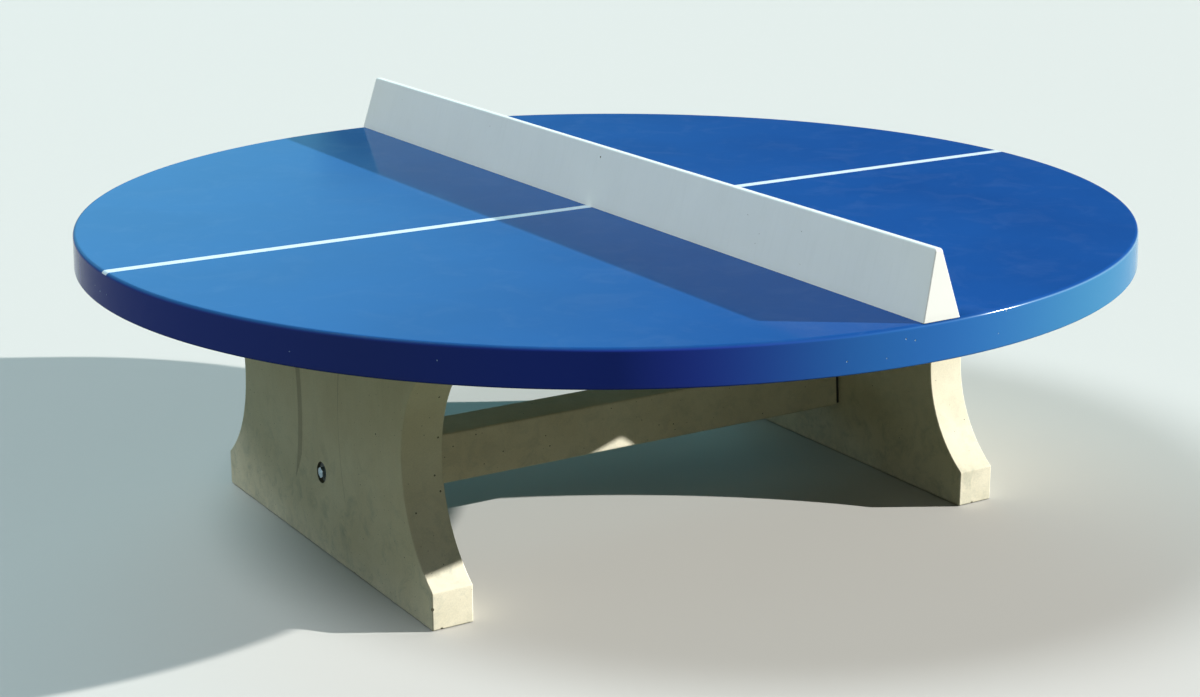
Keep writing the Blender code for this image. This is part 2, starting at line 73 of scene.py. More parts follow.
AIR_HOLES_ON_A_LEG = 72
AIR_HOLE_RADIUS = (0.0009, 0.0026)
AIR_HOLE_ROOM = 0.012
SHARE_ON_HOLLOW_EDGES = 0.18
SEEN_AIR_HOLES = [(0.012, 0.400), (0.022, 0.313), (0.012, 0.269)]
FOOT_CHIPS = 6
FOOT_CHIP_ROOM = 0.04
CHIP_LENGTH = (0.006, 0.014)
CHIP_DEPTH = (0.0045, 0.0068)
LUMP_ROUGHNESS = (0.82, 1.12)
SHARE_ON_SHORT_ENDS = 0.45
SHARE_ON_LONG_SIDES = 0.40

SIDES = [("left", -1), ("right", 1)]
ENDS = ["near", "far"]


def to_linear(code):
    """An sRGB hex value as linear red, green, blue and full alpha."""
    channels = [int(code[i : i + 2], 16) / 255 for i in (0, 2, 4)]
    linear = [c / 12.92 if c <= 0.04045 else ((c + 0.055) / 1.055) ** 2.4 for c in channels]
    return (*linear, 1.0)


def add_node(tree, kind, sockets=None, **settings):
    """Adds a shader node. Each socket takes a number, a colour as sRGB hex, another node, which
    then gives its first output, or one certain output of a node."""
    node = tree.nodes.new("ShaderNode" + kind)
    for name, value in settings.items():
        setattr(node, name, value)
    for socket, value in (sockets or {}).items():
        if isinstance(value, bpy.types.Node):
            value = value.outputs[0]
        if isinstance(value, bpy.types.NodeSocket):
            tree.links.new(value, node.inputs[socket])
        else:
            node.inputs[socket].default_value = to_linear(value) if isinstance(value, str) else value
    return node


def new_material(name):
    """A material with an empty node tree, add_node for that tree, and the object's coordinates."""
    material = bpy.data.materials.new(name)
    material.use_nodes = True
    material.node_tree.nodes.clear()
    add = partial(add_node, material.node_tree)
    return material, add, add("TexCoord").outputs["Object"]


def cast_concrete(name, light, dark, hole, weathered):
    """Cast concrete: cement skin struck from a steel mould. It is matt and slightly cloudy, with
    a sandy tooth, pin-sized air holes, and grime where rain splashes it."""
    material, add, place = new_material(name)
    clouds = add("TexNoise", {"Vector": place, "Scale": 1 / 0.19, "Detail": 5.0, "Roughness": 0.6})
    cloudy = add("MapRange", {"Value": clouds, "From Min": 0.34, "From Max": 0.68})
    skin = add("MixRGB", {"Fac": cloudy, "Color1": light, "Color2": dark})

    # Sand of about 1 mm, drawn at 3 mm so that it shows at all from a few steps away
    sand = add("TexNoise", {"Vector": place, "Scale": 1 / 0.003, "Detail": 3.0, "Roughness": 0.7})
    grain = add(
        "MapRange", {"Value": sand, "From Min": 0.3, "From Max": 0.7, "To Min": 0.93, "To Max": 1.05}
    )
    skin = add("MixRGB", {"Fac": 1.0, "Color1": skin, "Color2": grain}, blend_type="MULTIPLY")

    # Pinholes left by air, one in some of the cells of 17 mm
    cells = add("TexVoronoi", {"Vector": place, "Scale": 1 / 0.017})
    near_middle = add("MapRange", {
        "Value": cells.outputs["Distance"], "From Min": 0.045, "From Max": 0.075, "To Min": 1.0,
        "To Max": 0.0
    })
    lot = add("SeparateColor", {"Color": cells.outputs["Color"]}).outputs["Red"]
    drawn = add("Math", {0: lot, 1: 0.62}, operation="GREATER_THAN")
    pinholes = add("Math", {0: near_middle, 1: drawn}, operation="MULTIPLY")
    skin = add("MixRGB", {"Fac": pinholes, "Color1": skin, "Color2": hole})

    # Splash grime rises about 60 mm from the ground, in patches of a few centimetres
    height = add("SeparateXYZ", {"Vector": place}).outputs["Z"]
    low_down = add("MapRange", {
        "Value": height, "From Max": 0.075, "To Min": 1.0, "To Max": 0.0
    }, interpolation_type="SMOOTHSTEP")
    patches = add("TexNoise", {"Vector": place, "Scale": 1 / 0.035, "Detail": 6.0, "Roughness": 0.65})
    patchy = add("MapRange", {"Value": patches, "From Min": 0.42, "From Max": 0.7, "To Max": 0.45})
    splash = add("Math", {0: low_down, 1: patchy}, operation="MULTIPLY")

    # Smudges a hand wide lie on the lower half, and thin rain runs come down from under the slab
    smudges = add("TexNoise", {
        "Vector": place, "Scale": 1 / 0.06, "Detail": 8.0, "Roughness": 0.75, "Distortion": 0.6
    })
    smudged = add("MapRange", {"Value": smudges, "From Min": 0.48, "From Max": 0.72, "To Max": 0.60})
    lower_half = add(
        "MapRange", {"Value": height, "From Min": 0.08, "From Max": 0.36, "To Min": 1.0, "To Max": 0.10}
    )
    smudged = add("Math", {0: smudged, 1: lower_half}, operation="MULTIPLY")
    hanging = add("Mapping", {"Vector": place, "Scale": (1 / 0.022, 1 / 0.022, 1 / 0.55)})
    runs = add("TexNoise", {"Vector": hanging, "Scale": 1.0, "Detail": 3.0, "Roughness": 0.6})
    rain_runs = add("MapRange", {"Value": runs, "From Min": 0.54, "From Max": 0.72, "To Max": 0.08})
    grime = add("Math", {0: splash, 1: smudged}, operation="MAXIMUM")
    grime = add("Math", {0: grime, 1: rain_runs}, operation="MAXIMUM")
    skin = add("MixRGB", {"Fac": grime, "Color1": skin, "Color2": weathered})

    # The tooth is a tenth of a millimetre high, the mould's own waves are longer and lower
    waves = add("TexNoise", {"Vector": place, "Scale": 1 / 0.045})
    relief = add("Bump", {"Height": waves, "Strength": 0.35, "Distance": 0.0010})
    relief = add("Bump", {"Height": sand, "Strength": 0.5, "Distance": 0.0004, "Normal": relief})
    relief = add(
        "Bump", {"Height": pinholes, "Strength": 0.8, "Distance": 0.0012, "Normal": relief}, invert=True
    )
    roughness = add("MapRange", {"Value": sand, "To Min": 0.70, "To Max": 0.92})
    shader = add(
        "BsdfPrincipled", {"Base Color": skin, "Roughness": roughness, "IOR": 1.5, "Normal": relief}
    )
    add("OutputMaterial", {"Surface": shader})
    return material


def broken_concrete():
    """Concrete where a flake has come off: sand and small stones show in a duller cement."""
    material, add, place = new_material("broken_concrete")
    stones = add("TexVoronoi", {"Vector": place, "Scale": 1 / 0.004})
    lot = add("SeparateColor", {"Color": stones.outputs["Color"]}).outputs["Green"]
    colour = add("MixRGB", {"Fac": lot, "Color1": "DDD5BC", "Color2": "B9B098"})
    relief = add("Bump", {"Height": stones.outputs["Distance"], "Distance": 0.0015})
    shader = add("BsdfPrincipled", {"Base Color": colour, "Roughness": 0.95, "Normal": relief})
    add("OutputMaterial", {"Surface": shader})
    return material


# Painted shade: the panel's sides are darker, the recess is dark, and the air holes are dark with grime
# and shade
CREAM_CONCRETE = cast_concrete("cream_cast_concrete", "F3EDD5", "E8E0C5", "8A8168", "A5AD9C")
PANEL_WALL_SHADE_CONCRETE = cast_concrete("panel_wall_painted_shade_concrete", "CFC9B2", "C4BDA6", "736C56", "98937D")
SHADE_AND_GRIME_CONCRETE = cast_concrete("painted_shade_and_grime_concrete", "8A836C", "69634F", "39352A", "4C4739")
BROKEN_CONCRETE = broken_concrete()


def add_piece(name, work, material):
    """Links a bmesh as an object, with its faces pointing out, and frees it."""
    bmesh.ops.recalc_face_normals(work, faces=work.faces)
    mesh = bpy.data.meshes.new(name)
    work.to_mesh(mesh)
    work.free()
    mesh.materials.append(material)
    piece = bpy.data.objects.new(name, mesh)
    bpy.context.scene.collection.objects.link(piece)
    return piece


def combine(piece, helpers, operation="DIFFERENCE"):
    """Cuts helpers out of a piece, or joins them to it, for good. The cut faces take the
    helper's material, and the helpers are removed."""
    for helper in helpers:
        change = piece.modifiers.new(helper.name, "BOOLEAN")
        change.object = helper
        change.operation = operation
        change.solver = "EXACT"
        change.material_mode = "TRANSFER"
    graph = bpy.context.evaluated_depsgraph_get()
    changed = bpy.data.meshes.new_from_object(piece.evaluated_get(graph))
    piece.modifiers.clear()
    piece.data = changed
    for helper in helpers:
        bpy.data.objects.remove(helper)


def dress(piece, slot, *nodes):
    """Shades a finished piece's rounds smooth and the broad faces beside them flat. It rides on
    the frame and stands for its solids."""
    piece.data.shade_smooth()
    piece.data.set_sharp_from_angle(angle=math.radians(35))
    flat_faces = piece.modifiers.new("Flat faces", "WEIGHTED_NORMAL")
    flat_faces.keep_sharp = True
    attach(piece, "root")
    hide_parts(*nodes)


def arc_points(centre, radius, start, end, steps):
    """Points on an arc between two angles in degrees, both ends included."""
    angles = [math.radians(start + (end - start) * i / steps) for i in range(steps + 1)]
    return [(centre[0] + radius * math.cos(a), centre[1] + radius * math.sin(a)) for a in angles]


def hollow_side(waist, rise, half_chord, middle, steps):
    """A side that bows in towards the axis, as (distance from the axis, height) from its foot."""
    radius = (half_chord**2 + rise**2) / (2 * rise)
    sweep = math.degrees(2 * math.atan2(rise, half_chord))
    return arc_points((waist / 2 + radius, middle), radius, 180 + sweep, 180 - sweep, steps)


def pushed_out(corners, push):
    """A solid from a flat outline in space, pushed out along a vector."""
    work = bmesh.new()
    face = work.faces.new([work.verts.new(corner) for corner in corners])
    grown = bmesh.ops.extrude_face_region(work, geom=[face])
    moved = [item for item in grown["geom"] if isinstance(item, bmesh.types.BMVert)]
    bmesh.ops.translate(work, vec=push, verts=moved)
    bmesh.ops.recalc_face_normals(work, faces=work.faces)
    return work


def plate(outline, back, front):
    """A plate that stands across X, from an outline in (Y, Z)."""
    return pushed_out([(back, y, z) for y, z in outline], (front - back, 0, 0))


def round_edges(work, edges, width, segments=4):
    bmesh.ops.bevel(work, geom=edges, offset=width, segments=segments, profile=0.5, affect="EDGES")


def round_arrises(work, width, above=-math.inf):
    """Rounds the edges that turn by more than 30 degrees and rise above a height."""
    sharp = [edge for edge in work.edges if edge.calc_face_angle() > math.radians(30)]
    round_edges(work, [e for e in sharp if any(v.co.z > above for v in e.verts)], width)


def block(low, high):
    """A box between two corners."""
    low, high = Vector(low), Vector(high)
    work = bmesh.new()
    bmesh.ops.create_cube(work, size=1)
    bmesh.ops.scale(work, vec=high - low, verts=work.verts)
    bmesh.ops.translate(work, vec=(low + high) / 2, verts=work.verts)
    return work


def turned(profile, steps, place=(0, 0, 0), turn=None):
    """A solid turned about its own Z axis from (radius, height) points, then turned by a matrix
    and put in its place. A profile that doesn't start on the axis closes on itself."""
    work = bmesh.new()
    points = [work.verts.new((radius, 0, height)) for radius, height in profile]
    nexts = points[1:] + (points[:1] if profile[0][0] else [])
    edges = [work.edges.new(pair) for pair in zip(points, nexts)]
    bmesh.ops.spin(
        work, geom=points + edges, cent=(0, 0, 0), axis=(0, 0, 1), angle=math.tau, steps=steps,
        use_merge=True
    )
    bmesh.ops.remove_doubles(work, verts=work.verts, dist=1e-6)
    if turn is not None:
        bmesh.ops.rotate(work, cent=(0, 0, 0), matrix=turn, verts=work.verts)
    bmesh.ops.translate(work, vec=place, verts=work.verts)
    return work


def rod(radius, bottom, top):
    """Profile of a plain round rod."""
    return [(0, top), (radius, top), (radius, bottom), (0, bottom)]


def stepped_rod(top, upper, step, lower, bottom):
    """Profile of a round rod with one radius above a step and another below it."""
    return [(0, top), (upper, top), (upper, step), (lower, step), (lower, bottom), (0, bottom)]


def upright_hole(name, node, clearance, material, bottom=None, top=None):
    """A cutter for the upright hole round one of the frame's solids. It ends just past the solid
    where no height is given."""
    low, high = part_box(node)
    bottom = low.z - SEAT_GAP if bottom is None else bottom
    top = high.z + SEAT_GAP if top is None else top
    middle = (low + high) / 2
    profile = rod((high.x - low.x) / 2 + clearance, bottom, top)
    return add_piece(name, turned(profile, 32, (middle.x, middle.y, 0)), material)


def air_holes(name, spots, material):
    """Balls that cut air holes. Each spot is a point on a face, the face's outward direction
    and the hole's radius, and a ball stands out of the face by a third of its radius."""
    work = bmesh.new()
    for point, outward, radius in spots:
        ball = bmesh.ops.create_icosphere(work, subdivisions=2, radius=radius)
        bmesh.ops.translate(work, vec=point + outward * radius / 3, verts=ball["verts"])
    return add_piece(name, work, material)


def clear_of(point, spots, room):
    return all((point - other).length > room for other, _, _ in spots)


def chips(name, spots, chance, material):
    """Rough lumps that knock flakes off an arris. Each spot is a point on the sharp corner line
    before rounding, the line's direction, and the flake's length."""
    work = bmesh.new()
    for point, along, length in spots:
        lump = bmesh.ops.create_icosphere(work, subdivisions=2, radius=1)
        depth = chance.uniform(*CHIP_DEPTH)
        stretch = [length / 2 if abs(share) > 0.5 else depth for share in along]
        for vertex in lump["verts"]:
            vertex.co *= chance.uniform(*LUMP_ROUGHNESS)
        bmesh.ops.scale(work, vec=stretch, verts=lump["verts"])
        bmesh.ops.translate(work, vec=point, verts=lump["verts"])
    return add_piece(name, work, material)


def leg_side():
    """The hollow stretch of a leg's edge, as (distance from the middle, height)."""
    _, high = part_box("leg_left")
    half_chord = (high.z - LEG_HEAD_HEIGHT - LEG_FOOT_HEIGHT) / 2
    middle = LEG_FOOT_HEIGHT + half_chord
    rise = high.y - LEG_WAIST / 2
    return hollow_side(LEG_WAIST, rise, half_chord, middle, LEG_ARC_STEPS)


def leg_air_holes(outer_x, inner_x, sign, chance):
    """Spots spread over a leg's two broad faces and its two hollow edges. The left leg's first
    three are the ones seen in the photograph."""
    smallest, largest = AIR_HOLE_RADIUS
    side = leg_side()
    spots = []
    for inset, seen_z in SEEN_AIR_HOLES if sign < 0 else []:
        step = min(range(1, LEG_ARC_STEPS), key=lambda i: abs(side[i][1] - seen_z))
        (y, z), (next_y, next_z) = side[step], side[step + 1]
        outward = Vector((0, z - next_z, next_y - y)).normalized()
        spots.append((Vector((inner_x + sign * inset, -y, z)), outward, largest))
    while len(spots) < AIR_HOLES_ON_A_LEG:
        radius = smallest + chance.random() ** 3 * (largest - smallest)
        step = chance.randrange(1, LEG_ARC_STEPS)
        (y, z), (next_y, next_z) = side[step], side[step + 1]
        end = chance.choice((-1, 1))
        if chance.random() < SHARE_ON_HOLLOW_EDGES:
            outward = Vector((0, end * (next_z - z), y - next_y)).normalized()
            across = chance.uniform(AIR_HOLE_ROOM, abs(outer_x - inner_x) - AIR_HOLE_ROOM)
            point = Vector((inner_x + sign * across, end * y, z))
        else:
            face = chance.choice((inner_x, outer_x))
            outward = Vector((math.copysign(1, face - (inner_x + outer_x) / 2), 0, 0))
            point = Vector((face, end * chance.uniform(PANEL_WAIST, y - 0.02), z))
        if clear_of(point, spots, AIR_HOLE_ROOM):
            spots.append((point, outward, radius))
    return spots


def foot_chip_spots(outer_x, inner_x, foot_y, chance):
    """Spots along the bottom arrises of a foot, most of them on its two short ends."""
    spots = []
    back, front = sorted((outer_x, inner_x))
    while len(spots) < FOOT_CHIPS:
        end = chance.choice((-1, 1))
        length = chance.uniform(*CHIP_LENGTH)
        lot = chance.random()
        if lot < SHARE_ON_SHORT_ENDS:
            spot = Vector((chance.uniform(back + 0.012, front - 0.012), end * foot_y, 0))
            along = (0.98, 0.0, 0.0)
        elif lot < SHARE_ON_SHORT_ENDS + SHARE_ON_LONG_SIDES:
            face = chance.choice((outer_x, inner_x))
            spot = Vector((face, end * chance.uniform(0.1, foot_y - 0.02), 0))
            along = (0.0, 0.98, 0.0)
        else:
            face = chance.choice((outer_x, inner_x))
            spot = Vector((face, end * foot_y, chance.uniform(0.02, LEG_FOOT_HEIGHT)))
            along = (0.0, 0.0, 0.98)
        if clear_of(spot, spots, FOOT_CHIP_ROOM):
            spots.append((spot, along, length))
    return spots


def make_leg(side, sign):
    low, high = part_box(f"leg_{side}")
    beam_low, beam_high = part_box("stretcher_beam")
    washer_low, washer_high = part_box(f"beam_washer_{side}")
    outer_x, inner_x = (low.x, high.x) if sign < 0 else (high.x, low.x)
    axis_z = (beam_low.z + beam_high.z) / 2
    chance = random.Random(20 + sign)

    edge = [(high.y, 0.0), *leg_side(), (high.y, high.z)]
    outline = edge + [(-y, z) for y, z in reversed(edge)]
    work = plate(outline, inner_x, outer_x)
    round_arrises(work, LEG_ARRIS)
    leg = add_piece(f"leg_casting_{side}", work, CREAM_CONCRETE)

    # The plain panel is recessed: its sides bow in like the leg's own, and its floor runs out
    # to the face at both ends
    middle_z = leg_side()[LEG_ARC_STEPS // 2][1]
    panel_side = hollow_side(PANEL_WAIST, PANEL_FLARE / 2, PANEL_HEIGHT / 2, middle_z, 24)
    widest, foot_z = panel_side[0]
    panel_side.insert(0, (widest, foot_z - CUT_MARGIN))
    panel_side.append((widest, foot_z + PANEL_HEIGHT + CUT_MARGIN))
    panel_outline = panel_side + [(-y, z) for y, z in reversed(panel_side)]
    panel = plate(panel_outline, outer_x - sign * PANEL_DEPTH, outer_x + sign * PANEL_DEPTH)
    for vertex in panel.verts:
        if (vertex.co.x - outer_x) * sign > 0:
            vertex.co.y *= 1 + 2 * PANEL_DRAFT / widest
    for end in (-1, 1):
        bmesh.ops.bisect_plane(
            panel, geom=[*panel.verts, *panel.edges, *panel.faces],
            plane_co=(outer_x, 0, middle_z + end * PANEL_HEIGHT / 2),
            plane_no=(-sign * PANEL_RUN_OUT, 0, end * PANEL_DEPTH), clear_outer=True
        )
        bmesh.ops.holes_fill(panel, edges=panel.edges)
    cutter = add_piece("panel", panel, CREAM_CONCRETE)
    # The panel's side walls take the darker concrete, as painted shade
    cutter.data.materials.append(PANEL_WALL_SHADE_CONCRETE)
    for face in cutter.data.polygons:
        face.material_index = 1 if abs(face.normal.y) > 0.2 else 0
    helpers = [cutter]

    # Recess for the washer and the bolt's head, and the hole for its shank
    recess_radius = (washer_high.y - washer_low.y) / 2 + WASHER_CLEARANCE
    washer_back = washer_high.x if sign < 0 else washer_low.x
    floor = -abs(outer_x - washer_back) - SEAT_GAP
    hole_radius = BEAM_BOLT_DIAMETER / 2 + BOLT_HOLE_CLEARANCE
    far_end = -abs(outer_x - inner_x) - CUT_MARGIN
    recess = stepped_rod(CUT_MARGIN, recess_radius, floor, hole_radius, far_end)
    outward_turn = Matrix.Rotation(sign * math.pi / 2, 3, "Y")
    bore = turned(recess, 48, (outer_x, 0, axis_z), outward_turn)
    # The recess is lined with the dark concrete: painted shade
    helpers.append(add_piece("bolt_recess", bore, SHADE_AND_GRIME_CONCRETE))

    for end in ENDS:
        dowel = f"slab_dowel_{side}_{end}"
        top = high.z + CUT_MARGIN
        hole = upright_hole(f"dowel_hole_{end}", dowel, DOWEL_CLEARANCE, CREAM_CONCRETE, top=top)
        helpers.append(hole)

    spots = leg_air_holes(outer_x, inner_x, sign, chance)
    # The air holes take the dark concrete: grime and painted shade
    helpers.append(air_holes("air_holes", spots, SHADE_AND_GRIME_CONCRETE))
    spots = foot_chip_spots(outer_x, inner_x, high.y, chance)
    helpers.append(chips("foot_chips", spots, chance, BROKEN_CONCRETE))
    combine(leg, helpers)
    dress(leg, "cream_concrete", f"leg_{side}")


for side, sign in SIDES:
    make_leg(side, sign)


# Beam. A plain bar of the same cream concrete that holds the legs apart. It is cast upside down,
# so it widens towards its underside, and a threaded steel socket is cast into each of its ends.

BEAM_TOP_WIDTH = 0.130
BEAM_ARRIS = 0.005
AIR_HOLES_ON_THE_BEAM = 46
BEAM_AIR_HOLE_RADIUS = (0.0009, 0.0021)
SHARE_ON_BEAM_SIDES = 0.7


def make_beam():
    low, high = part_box("stretcher_beam")
    top_y = BEAM_TOP_WIDTH / 2
    section = [(high.y, low.z), (top_y, high.z), (-top_y, high.z), (low.y, low.z)]
    work = plate(section, low.x, high.x)
    round_arrises(work, BEAM_ARRIS)
    beam = add_piece("beam_casting", work, CREAM_CONCRETE)
    helpers = []
    for side, sign in SIDES:
        socket_low, socket_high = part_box(f"beam_socket_{side}")
        radius = (socket_high.z - socket_low.z) / 2 + SEAT_GAP
        length = socket_high.x - socket_low.x + SEAT_GAP
        hole = turned(
            rod(radius, -length, CUT_MARGIN), 32, (high.x * sign, 0, (low.z + high.z) / 2),
            Matrix.Rotation(sign * math.pi / 2, 3, "Y")
        )
        helpers.append(add_piece(f"socket_hole_{side}", hole, CREAM_CONCRETE))
    lean = (high.y - top_y) / (high.z - low.z)
    chance = random.Random(5)
    spots = []
    while len(spots) < AIR_HOLES_ON_THE_BEAM:
        end = chance.choice((-1, 1))
        x = chance.uniform(low.x + 0.04, high.x - 0.04)
        radius = chance.uniform(*BEAM_AIR_HOLE_RADIUS)
        if chance.random() < SHARE_ON_BEAM_SIDES:
            rise = chance.uniform(AIR_HOLE_ROOM, high.z - low.z - AIR_HOLE_ROOM)
            point = Vector((x, end * (high.y - lean * rise), low.z + rise))
            outward = Vector((0, end, lean)).normalized()
        else:
            point = Vector((x, chance.uniform(-1, 1) * (top_y - AIR_HOLE_ROOM), high.z))
            outward = Vector((0, 0, 1))
        if clear_of(point, spots, AIR_HOLE_ROOM):
            spots.append((point, outward, radius))
    # The air holes take the dark concrete: grime and painted shade
    helpers.append(air_holes("air_holes", spots, SHADE_AND_GRIME_CONCRETE))
    combine(beam, helpers)
    dress(beam, "cream_concrete", "stretcher_beam")


make_beam()


# Leg bolts. A zinc-plated M16 hexagon bolt on a large washer goes through each leg and screws
# into the socket in the beam's end. Only the head and the washer show, deep in the recess.

BEAM_BOLT_HEAD = 0.024
BEAM_BOLT_HEAD_HEIGHT = 0.010
HEX_CHAMFER = math.radians(30)
CORNER_CLEARANCE = 0.001
THREAD_CLEARANCE = 0.0004
WASHER_EDGE = 0.0006


def zinc_plated_steel(name, bright, dull, roughness_range):
    """Zinc plating on forged steel: a bluish-white metal, dulled in soft blotches by weather,
    with a fine drawn grain."""
    material, add, place = new_material(name)
    blotches = add("TexNoise", {"Vector": place, "Scale": 1 / 0.006, "Detail": 4.0})
    dulled = add("MapRange", {"Value": blotches, "From Min": 0.35, "From Max": 0.7})
    colour = add("MixRGB", {"Fac": dulled, "Color1": bright, "Color2": dull})
    smoothest, roughest = roughness_range
    roughness = add("MapRange", {"Value": dulled, "To Min": smoothest, "To Max": roughest})
    relief = add("Bump", {"Height": blotches, "Strength": 0.3, "Distance": 0.0002})
    shader = add("BsdfPrincipled", {
        "Base Color": colour, "Metallic": 1.0, "Roughness": roughness, "Normal": relief
    })
    add("OutputMaterial", {"Surface": shader})
    return material


ZINC_STEEL = zinc_plated_steel("zinc_plated_steel", "C9D9E4", "93A3AC", (0.24, 0.52))
# The washers get a dull dark grey zinc: painted shade for the recess they lie in
SHADE_DARK_ZINC = zinc_plated_steel("zinc_steel_painted_dark_for_shade", "7C8182", "55595A", (0.50, 0.72))


def make_bolt(name, node, outward, across_flats, head_height, diameter):
    """A hexagon bolt that faces outward, with its shank running back to the solid's other end."""
    low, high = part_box(node)
    length = abs((high - low).dot(outward)) - head_height
    seat = (low + high) / 2 + outward * (length - head_height) / 2
    turn = outward.to_track_quat("Z", "Y").to_matrix()
    corner = across_flats / math.cos(math.radians(30)) / 2
    hexagon = bmesh.new()
    bmesh.ops.create_cone(
        hexagon, cap_ends=True, segments=6, radius1=corner, radius2=corner, depth=head_height,
        matrix=Matrix.Translation(seat + outward * head_height / 2) @ turn.to_4x4()
    )
    bolt = add_piece(name, hexagon, ZINC_STEEL)

    # A shallow cone takes the six corners off the top of the head
    top_radius = across_flats / 2 * 0.95
    past_corner = corner + CORNER_CLEARANCE
    fall = (past_corner - top_radius) * math.tan(HEX_CHAMFER)
    cone = [
        (0, head_height),
        (top_radius, head_height),
        (past_corner, head_height - fall),
        (past_corner, -CORNER_CLEARANCE),
        (0, -CORNER_CLEARANCE),
    ]
    combine(bolt, [add_piece("cone", turned(cone, 48, seat, turn), ZINC_STEEL)], "INTERSECT")
    shank = rod(diameter / 2, -length, head_height / 2)
    combine(bolt, [add_piece("shank", turned(shank, 32, seat, turn), ZINC_STEEL)], "UNION")
    dress(bolt, "zinc_plated_steel", node)


def make_washer(name, node, outward, bolt_diameter):
    """A flat washer with rolled edges."""
    low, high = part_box(node)
    thickness = abs((high - low).dot(outward))
    back = (low + high) / 2 - outward * thickness / 2
    bore = bolt_diameter / 2 + THREAD_CLEARANCE
    radius = max(high - low) / 2
    edge = WASHER_EDGE
    section = [
        (bore, thickness),
        (radius - edge, thickness),
        (radius - edge * 0.3, thickness - edge * 0.3),
        (radius, thickness - edge),
        (radius, edge * 0.5),
        (radius - edge * 0.5, 0),
        (bore, 0),
    ]
    work = turned(section, 48, back, outward.to_track_quat("Z", "Y").to_matrix())
    dress(add_piece(name, work, SHADE_DARK_ZINC), "zinc_plated_steel", node)


def clad(node, material):
    """Gives a frame solid that stays in view a better material."""
    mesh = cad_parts[node].data
    mesh.materials.clear()
    mesh.materials.append(material)


for side, sign in SIDES:
    outward = Vector((sign, 0, 0))
    size = (BEAM_BOLT_HEAD, BEAM_BOLT_HEAD_HEIGHT, BEAM_BOLT_DIAMETER)
    make_bolt(f"leg_bolt_{side}", f"beam_bolt_{side}", outward, *size)
    make_washer(f"leg_washer_{side}", f"beam_washer_{side}", outward, BEAM_BOLT_DIAMETER)
    clad(f"beam_socket_{side}", ZINC_STEEL)


# Pads and dowels. A black rubber pad sits between each end of the beam and its leg, and a thinner
# one on each end of a leg's head, where a steel dowel through it keeps the slab from sliding. The
# load squeezes the pads' edges round.

PAD_EDGE = 0.0022


def black_rubber():
    """Natural rubber sheet, cut with a knife: black, matt, and dusty at its edges."""
    material, add, place = new_material("black_rubber_sheet")
    dust = add("TexNoise", {"Vector": place, "Scale": 1 / 0.008, "Detail": 5.0})
    dusty = add("MapRange", {"Value": dust, "From Min": 0.45, "From Max": 0.75, "To Max": 0.5})
    colour = add("MixRGB", {"Fac": dusty, "Color1": "232425", "Color2": "56544E"})
    roughness = add("MapRange", {"Value": dust, "To Min": 0.75, "To Max": 0.95})
    relief = add("Bump", {"Height": dust, "Strength": 0.4, "Distance": 0.0004})
    shader = add(
        "BsdfPrincipled", {"Base Color": colour, "Roughness": roughness, "IOR": 1.52, "Normal": relief}
    )
    add("OutputMaterial", {"Surface": shader})
    return material


RUBBER_SHEET = black_rubber()


def make_joint_pad(side):
    """The pad at one end of the beam: the beam's own section drawn in, holed for the bolt."""
    low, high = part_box(f"joint_pad_{side}")
    beam_low, beam_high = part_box("stretcher_beam")
    upper = BEAM_TOP_WIDTH / 2 - (beam_high.z - high.z)
    work = plate([(high.y, low.z), (upper, high.z), (-upper, high.z), (low.y, low.z)], low.x, high.x)
    round_arrises(work, PAD_EDGE)
    pad = add_piece(f"rubber_joint_pad_{side}", work, RUBBER_SHEET)
    radius = BEAM_BOLT_DIAMETER / 2 + BOLT_HOLE_CLEARANCE
    hole = turned(
        rod(radius, -CUT_MARGIN, high.x - low.x + CUT_MARGIN), 32,
        (low.x, 0, (beam_low.z + beam_high.z) / 2), Matrix.Rotation(math.pi / 2, 3, "Y")
    )
    combine(pad, [add_piece("bolt_hole", hole, RUBBER_SHEET)])
    dress(pad, "black_rubber", f"joint_pad_{side}")


def make_pad(place):
    low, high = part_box(f"bearing_pad_{place}")
    work = block(low, high)
    round_arrises(work, PAD_EDGE)
    pad = add_piece(f"rubber_pad_{place}", work, RUBBER_SHEET)
    dowel, bottom, top = f"slab_dowel_{place}", low.z - CUT_MARGIN, high.z + CUT_MARGIN
    hole = upright_hole("dowel_hole", dowel, DOWEL_CLEARANCE, RUBBER_SHEET, bottom, top)
    combine(pad, [hole])
    dress(pad, "black_rubber", f"bearing_pad_{place}")


for side, _ in SIDES:
    make_joint_pad(side)
    for end in ENDS:
        make_pad(f"{side}_{end}")
        clad(f"slab_dowel_{side}_{end}", ZINC_STEEL)


# Slab. One reinforced disc of 2.6 m, cast face down in a ring mould, so that its face is dead
# flat and its top arris evenly round. Face and rim are ground and coated blue, and the underside
# keeps its floated concrete.

SLAB_DRAFT = 0.002
SLAB_TOP_ARRIS = 0.009
SLAB_UNDER_ARRIS = 0.004
SLAB_STEPS = 360
LINE_CLEARANCE = 0.0003
RIM_CHIPS = 30
RIM_CHIP_RADIUS = (0.0011, 0.0024)
RIM_CHIP_ROOM = 0.015
SEEN_CHIPS = [(-82, 0.752), (-83, 0.708), (-94, 0.735), (-93, 0.729), (-96, 0.701), (-100, 0.705)]
NET_BOLT_DIAMETER = 0.012
# The rim's painted light and shade: from and to how much it faces the sun, and the colour reached there
RIM_PAINTED_SUN_AND_SHADE = [(-0.45, 0.05, "2C42AC"), (0.05, 0.42, "2C68B2"), (0.45, 0.85, "3C7CA8")]


